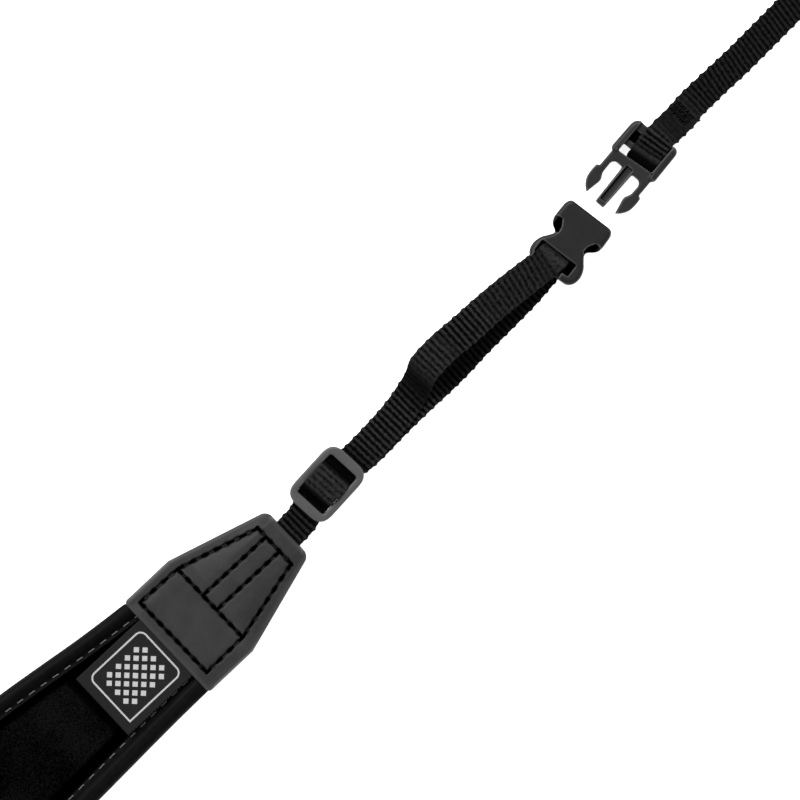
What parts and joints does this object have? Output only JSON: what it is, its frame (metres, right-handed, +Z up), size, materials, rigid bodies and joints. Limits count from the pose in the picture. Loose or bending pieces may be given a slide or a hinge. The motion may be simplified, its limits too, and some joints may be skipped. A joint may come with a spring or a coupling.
{
  "type": "camera neck strap",
  "caption": "Padded camera neck strap lying flat: curved pad, leatherette end tabs, ribbed webbing with sliders and open side-release buckles.",
  "frame": {"origin": "under the middle of the pad, on the surface that the strap lies on", "axes": "+X along the strap towards the end that bears the label, +Y towards the bulging side of the curved pad, +Z up from the surface"},
  "size_m": [1.0608, 0.0623, 0.011],
  "materials": {
    "neoprene": "black foam-backed knit with a faint sheen",
    "suede": "black brushed suede cloth, matt and slightly fuzzy",
    "label": "grey woven label with a pale border line",
    "leatherette": "mid-grey smooth leatherette with black stitching",
    "webbing": "black cross-ribbed woven polyester",
    "plastic_slider": "mid-grey moulded plastic, satin",
    "plastic_socket": "dark grey moulded plastic, satin",
    "plastic_plug": "grey moulded plastic, satin"
  },
  "bodies": {
    "root": {"pad_body": "neoprene", "centre_panel": "suede", "right_label": "label", "right_tab_upper": "leatherette", "right_tab_lower": "leatherette", "right_webbing": "webbing", "right_slider": "plastic_slider", "right_buckle_socket": "plastic_socket", "right_buckle_plug": "plastic_plug", "right_camera_webbing": "webbing", "left_tab_upper": "leatherette", "left_tab_lower": "leatherette", "left_webbing": "webbing", "left_slider": "plastic_slider", "left_buckle_socket": "plastic_socket", "left_buckle_plug": "plastic_plug", "left_camera_webbing": "webbing"}
  },
  "joints": []
}
